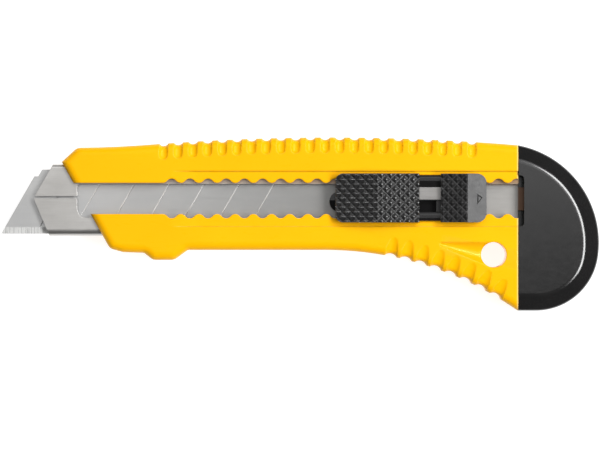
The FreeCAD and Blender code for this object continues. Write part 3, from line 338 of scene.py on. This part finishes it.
def blade_steel():
    """Ground carbon steel: faint rolling lines, grinding ticks on the cutting edge, pale score lines; the
    ground band is painted lighter and less metallic as a painted highlight, and the middle is painted darker
    as painted shade.
    """
    s = Shader("blade_ground")
    low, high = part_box("blade")
    grain = s.noise(s.stretched(0.10, 5.0, 5.0), detail=3.0, rough=0.6, seed=21.0)
    mottle = s.noise(s.stretched(0.10, 0.14, 0.2), detail=5.0, seed=23.0)
    blend = s.maths("ADD", s.maths("MULTIPLY", grain, 0.25), s.maths("MULTIPLY", mottle, 0.75))
    flat = s.ramp(blend, [(0.35, (0.485, 0.485, 0.485)), (0.66, (0.545, 0.542, 0.535))])
    x, y, _ = s.axes(s.place)
    # painted shade: the blade darker along its middle
    blade_shade = s.span(x, low.x + BLADE_SHADE_ENDS[0], high.x - BLADE_SHADE_ENDS[1], 0.0, 0.85)
    flat = s.mix(blade_shade, flat, (0.22, 0.218, 0.21))
    ground = s.span(y, low.y + GROUND_BAND[0], low.y + GROUND_BAND[1], 0.0, 1.0)
    ticks = s.noise(s.stretched(3.2, 0.10, 0.10), detail=3.0, rough=0.55, seed=27.0)
    # ground band: grinding ticks, painted lighter as a painted highlight
    ticked_and_highlit = s.ramp(ticks, [(0.30, (0.70, 0.70, 0.69)), (0.70, (0.93, 0.93, 0.91))])
    colour = s.mix(ground, flat, ticked_and_highlit)
    upright = s.axes(s.add("ShaderNodeNewGeometry").outputs["True Normal"])[2]
    steep = s.maths("ABSOLUTE", upright)
    scored = s.maths("MULTIPLY", s.span(steep, 0.90, 0.96, 1.0, 0.0), s.span(steep, 0.3, 0.5, 0.0, 1.0))
    broken = s.noise(s.stretched(0.12, 0.20, 0.2), detail=2.0, seed=29.0)
    scored = s.maths("MULTIPLY", scored, s.span(broken, 0.36, 0.62, 0.35, 1.0))
    colour = s.mix(scored, colour, (0.60, 0.60, 0.59))
    rough_flat = s.span(grain, 0.3, 0.7, 0.32, 0.42)
    roughness = s.mix(ground, rough_flat, s.span(ticks, 0.3, 0.7, 0.20, 0.38))
    roughness = s.mix(scored, roughness, (0.75, 0.75, 0.75))
    lines = s.mix(ground, grain, ticks)
    normal = s.bump(lines, 0.004 * MM, s.rounded(0.04 * MM))
    # score lines and ground band made less metallic so that they read lighter; on the ground band this is a
    # painted highlight
    cut_and_highlit = s.maths("MAXIMUM", scored, s.maths("MULTIPLY", ground, 0.75))
    s.join(s.span(cut_and_highlit, 0.0, 1.0, 1.0, 0.2), s.surface.inputs["Metallic"])
    return s.finish(colour, roughness, normal)


def dress(node, material):
    """Gives a CAD node its one material and smooth shading up to its sharp edges."""
    mesh = NODES[node].data
    mesh.materials.clear()
    mesh.materials.append(material)
    mesh.polygons.foreach_set("material_index", [0] * len(mesh.polygons))
    mesh.shade_smooth()
    mesh.set_sharp_from_angle(angle=SHARP_EDGE)


def dress_all():
    """Gives every node its finish."""
    dress("handle_body", yellow_plastic())
    dress("blade_rail", rail_steel())
    dress("blade", blade_steel())
    spring, _ = steel("spring_strip", (0.27, 0.262, 0.252), (0.36, 0.350, 0.340), (0.15, 6.0),
                      0.002 * MM, (0.26, 0.36), 41.0)
    dress("detent_spring", spring.material)
    # saddle hollow band: painted shade on the carrier
    lock_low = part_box("lock_slider")[0].y
    saddle = [lock_low + height for height in SADDLE_HOLLOW]
    carrier = black_plastic("carrier_black", 0.006, (0.12, 0.20), 0.004 * MM, 0.020, 0.6, saddle)
    dress("slider_carrier", carrier)
    dress("thumb_pad", black_plastic("pad_black", 0.012, (0.20, 0.34), 0.007 * MM, 0.050, 1.0))
    dress("lock_slider", black_plastic("lock_black", 0.010, (0.26, 0.46), 0.014 * MM, 0.130, 0.5))
    dress("end_cap", black_plastic("cap_black", 0.008, (0.14, 0.20), 0.002 * MM, 0.015, 0.85))


def floor():
    """Plain pale floor under the knife, with a glow of its own so that it stays white."""
    half = FLOOR_HALF
    mesh = bpy.data.meshes.new("floor")
    corners = [(-half, -half, 0), (half, -half, 0), (half, half, 0), (-half, half, 0)]
    mesh.from_pydata(corners, [], [(0, 1, 2, 3)])
    plane = bpy.data.objects.new("floor", mesh)
    bpy.context.scene.collection.objects.link(plane)
    plane.location.z = CAD_BOX[0][2] - FLOOR_GAP
    material = bpy.data.materials.new("floor_white")
    material.use_nodes = True
    surface = material.node_tree.nodes["Principled BSDF"]
    surface.inputs["Base Color"].default_value = (*FLOOR_GREY, 1)
    surface.inputs["Roughness"].default_value = 1.0
    surface.inputs["Specular IOR Level"].default_value = 0.0
    surface.inputs["Emission Color"].default_value = (1, 1, 1, 1)
    surface.inputs["Emission Strength"].default_value = FLOOR_GLOW
    mesh.materials.append(material)


def soft_light(name, place, size, power):
    """Rectangular light that looks at the middle of the knife."""
    data = bpy.data.lights.new(name, "AREA")
    data.shape = "RECTANGLE"
    data.size, data.size_y = size
    data.energy = power
    light = bpy.data.objects.new(name, data)
    light.location = place
    light.rotation_euler = (-Vector(place)).to_track_quat("-Z", "Y").to_euler()
    light.visible_camera = False
    bpy.context.scene.collection.objects.link(light)


def lights():
    """Studio light: a long softbox from the right, a weak broad one overhead, dim surroundings."""
    world = bpy.data.worlds.new("surroundings")
    world.use_nodes = True
    world.node_tree.nodes["Background"].inputs["Color"].default_value = (1, 1, 1, 1)
    world.node_tree.nodes["Background"].inputs["Strength"].default_value = SURROUNDINGS
    bpy.context.scene.world = world
    soft_light("key", *KEY)
    soft_light("overhead", *OVERHEAD)


def camera():
    """Long lens, straight down on the thumb side."""
    data = bpy.data.cameras.new("camera")
    data.sensor_width = SENSOR_WIDTH
    data.lens = SENSOR_WIDTH * (CAMERA_DISTANCE - FACE_HEIGHT) / VIEW_WIDTH
    data.clip_end = 10.0
    eye = bpy.data.objects.new("camera", data)
    eye.location = (*VIEW_CENTRE, CAMERA_DISTANCE)
    bpy.context.scene.collection.objects.link(eye)
    bpy.context.scene.camera = eye


dress_all()
floor()
lights()
camera()
bpy.context.scene.view_settings.view_transform = "Standard"
